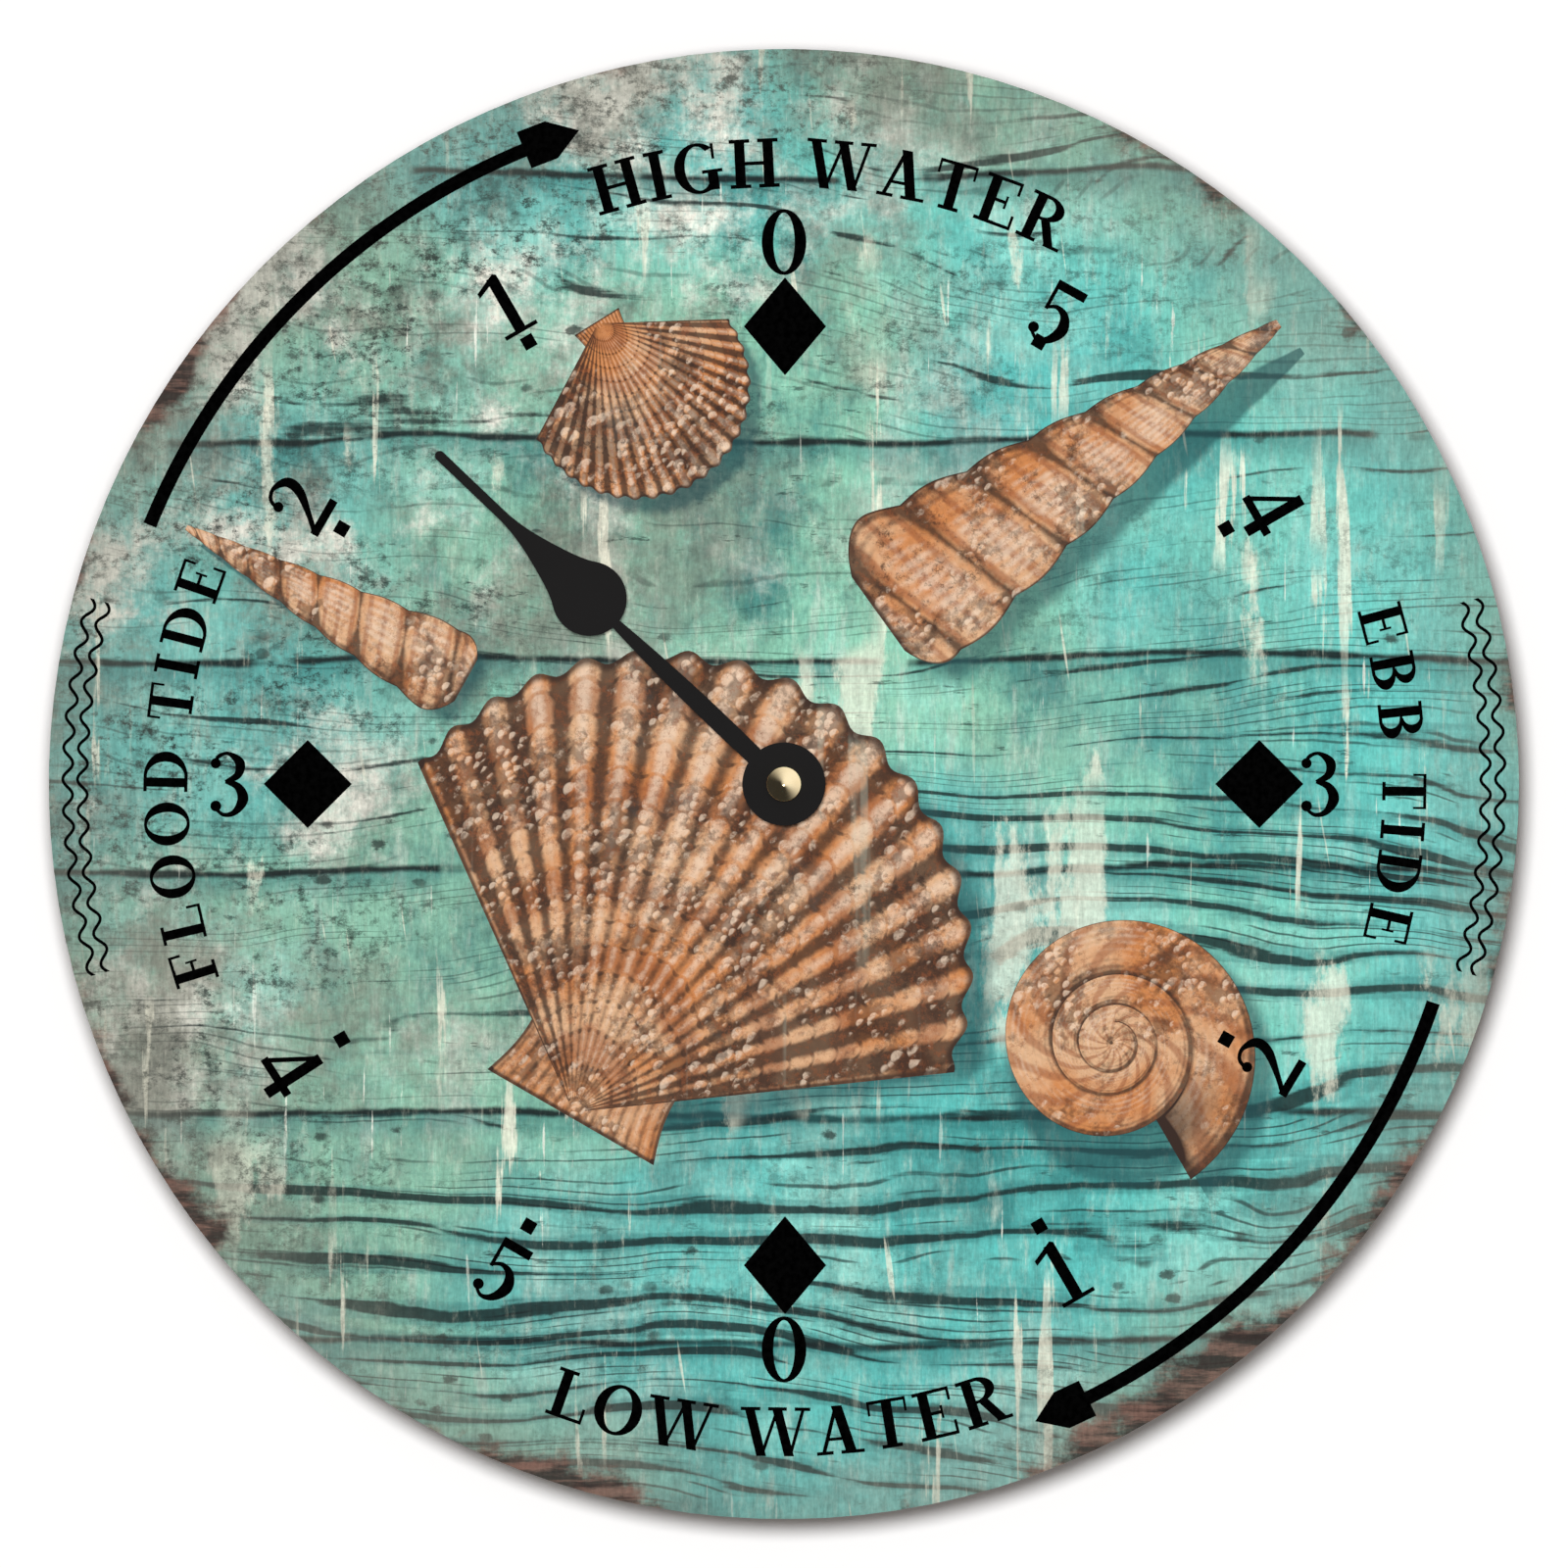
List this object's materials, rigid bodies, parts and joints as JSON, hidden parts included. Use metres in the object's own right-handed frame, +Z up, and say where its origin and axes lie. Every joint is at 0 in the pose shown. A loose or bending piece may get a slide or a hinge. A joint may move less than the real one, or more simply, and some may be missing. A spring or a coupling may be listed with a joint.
{
  "type": "tide clock",
  "caption": "Round wall tide clock: printed disc board, single black spade hand with brass cap nut, battery quartz movement with setting knob and hanger loop behind.",
  "frame": {"origin": "centre of the nail hole in the hanger loop, on the wall plane", "axes": "+Z up, +X to the right seen from the front, +Y into the wall, so the face looks along -Y"},
  "size_m": [0.2666, 0.0306, 0.2666],
  "materials": {
    "board": "fibreboard, sealed edge",
    "print": "satin printed film",
    "case_plastic": "fine spark texture",
    "gasket": "matt",
    "brass": "turned",
    "cap_brass": "polished",
    "hand_black": "matt black paint",
    "gear_plastic": "natural acetal",
    "knob_plastic": "moulded",
    "bridge_plastic": "moulded",
    "magnet": "sintered",
    "steel": "rolled",
    "copper": "enamelled wire",
    "laminate": "circuit laminate",
    "chip_black": "moulded",
    "cell_jacket": "plain printed jacket",
    "spring_steel": "plated"
  },
  "bodies": {
    "root": {"dial_board": "board", "printed_face": "print", "front_case": "case_plastic", "hanger_loop": "case_plastic", "rear_cover": "case_plastic", "rubber_gasket": "gasket", "threaded_bush": "brass", "front_washer": "brass", "hex_nut": "brass", "train_bridge": "bridge_plastic", "stator_plate": "steel", "coil_core": "steel", "coil_bobbin": "bridge_plastic", "coil_winding": "copper", "circuit_board": "laminate", "timing_chip": "chip_black", "crystal_can": "steel", "contact_plus": "spring_steel", "contact_minus": "spring_steel"},
    "hand_shaft": {"tide_arbor": "brass", "tide_wheel": "gear_plastic", "tide_hand": "hand_black", "cap_nut": "cap_brass"},
    "reduction_shaft": {"reduction_wheel": "gear_plastic"},
    "clutch_shaft": {"clutch_pinion": "gear_plastic"},
    "setting_shaft": {"setting_stem": "gear_plastic", "setting_knob": "knob_plastic"},
    "rotor": {"rotor_pinion": "gear_plastic", "rotor_magnet": "magnet"},
    "intermediate_shaft": {"intermediate_wheel": "gear_plastic"},
    "seconds_shaft": {"seconds_wheel": "gear_plastic"},
    "third_shaft": {"third_wheel": "gear_plastic"},
    "centre_shaft": {"centre_wheel": "gear_plastic"},
    "cell": {"battery": "cell_jacket"}
  },
  "joints": [
    {"name": "hand_turn", "type": "hinge", "parent": "root", "child": "hand_shaft", "pos_m": [0, 0, -0.035], "axis": [0, 1, 0], "continuous": true},
    {"name": "reduction_turn", "type": "hinge", "parent": "root", "child": "reduction_shaft", "pos_m": [-0.00789, 0, -0.03213], "axis": [0, 1, 0], "continuous": true},
    {"name": "clutch_pinion_turn", "type": "hinge", "parent": "root", "child": "clutch_shaft", "pos_m": [-0.00661, 0, -0.02484], "axis": [0, 1, 0], "continuous": true},
    {"name": "setting_knob_turn", "type": "hinge", "parent": "root", "child": "setting_shaft", "pos_m": [-0.01518, 0, -0.03341], "axis": [0, 1, 0], "continuous": true},
    {"name": "rotor_turn", "type": "hinge", "parent": "root", "child": "rotor", "pos_m": [0.01933, 0, -0.01848], "axis": [0, 1, 0], "continuous": true},
    {"name": "intermediate_turn", "type": "hinge", "parent": "root", "child": "intermediate_shaft", "pos_m": [0.01376, 0, -0.02238], "axis": [0, 1, 0], "continuous": true},
    {"name": "seconds_turn", "type": "hinge", "parent": "root", "child": "seconds_shaft", "pos_m": [0.00718, 0, -0.02477], "axis": [0, 1, 0], "continuous": true},
    {"name": "third_turn", "type": "hinge", "parent": "root", "child": "third_shaft", "pos_m": [0.00048, 0, -0.02359], "axis": [0, 1, 0], "continuous": true},
    {"name": "centre_turn", "type": "hinge", "parent": "root", "child": "centre_shaft", "pos_m": [-0.00661, 0, -0.02484], "axis": [0, 1, 0], "continuous": true},
    {"name": "cell_out", "type": "slide", "parent": "root", "child": "cell", "axis": [0, 1, 0], "range_m": [0, 0.02]}
  ],
  "couplings": [
    {"joint": "reduction_turn", "follows": "hand_turn", "ratio": -4.6},
    {"joint": "clutch_pinion_turn", "follows": "hand_turn", "ratio": 12.42},
    {"joint": "setting_knob_turn", "follows": "hand_turn", "ratio": 12.42},
    {"joint": "intermediate_turn", "follows": "rotor_turn", "ratio": -0.13333},
    {"joint": "seconds_turn", "follows": "rotor_turn", "ratio": 0.033333},
    {"joint": "third_turn", "follows": "rotor_turn", "ratio": -0.0044444},
    {"joint": "centre_turn", "follows": "rotor_turn", "ratio": 0.00055556}
  ]
}
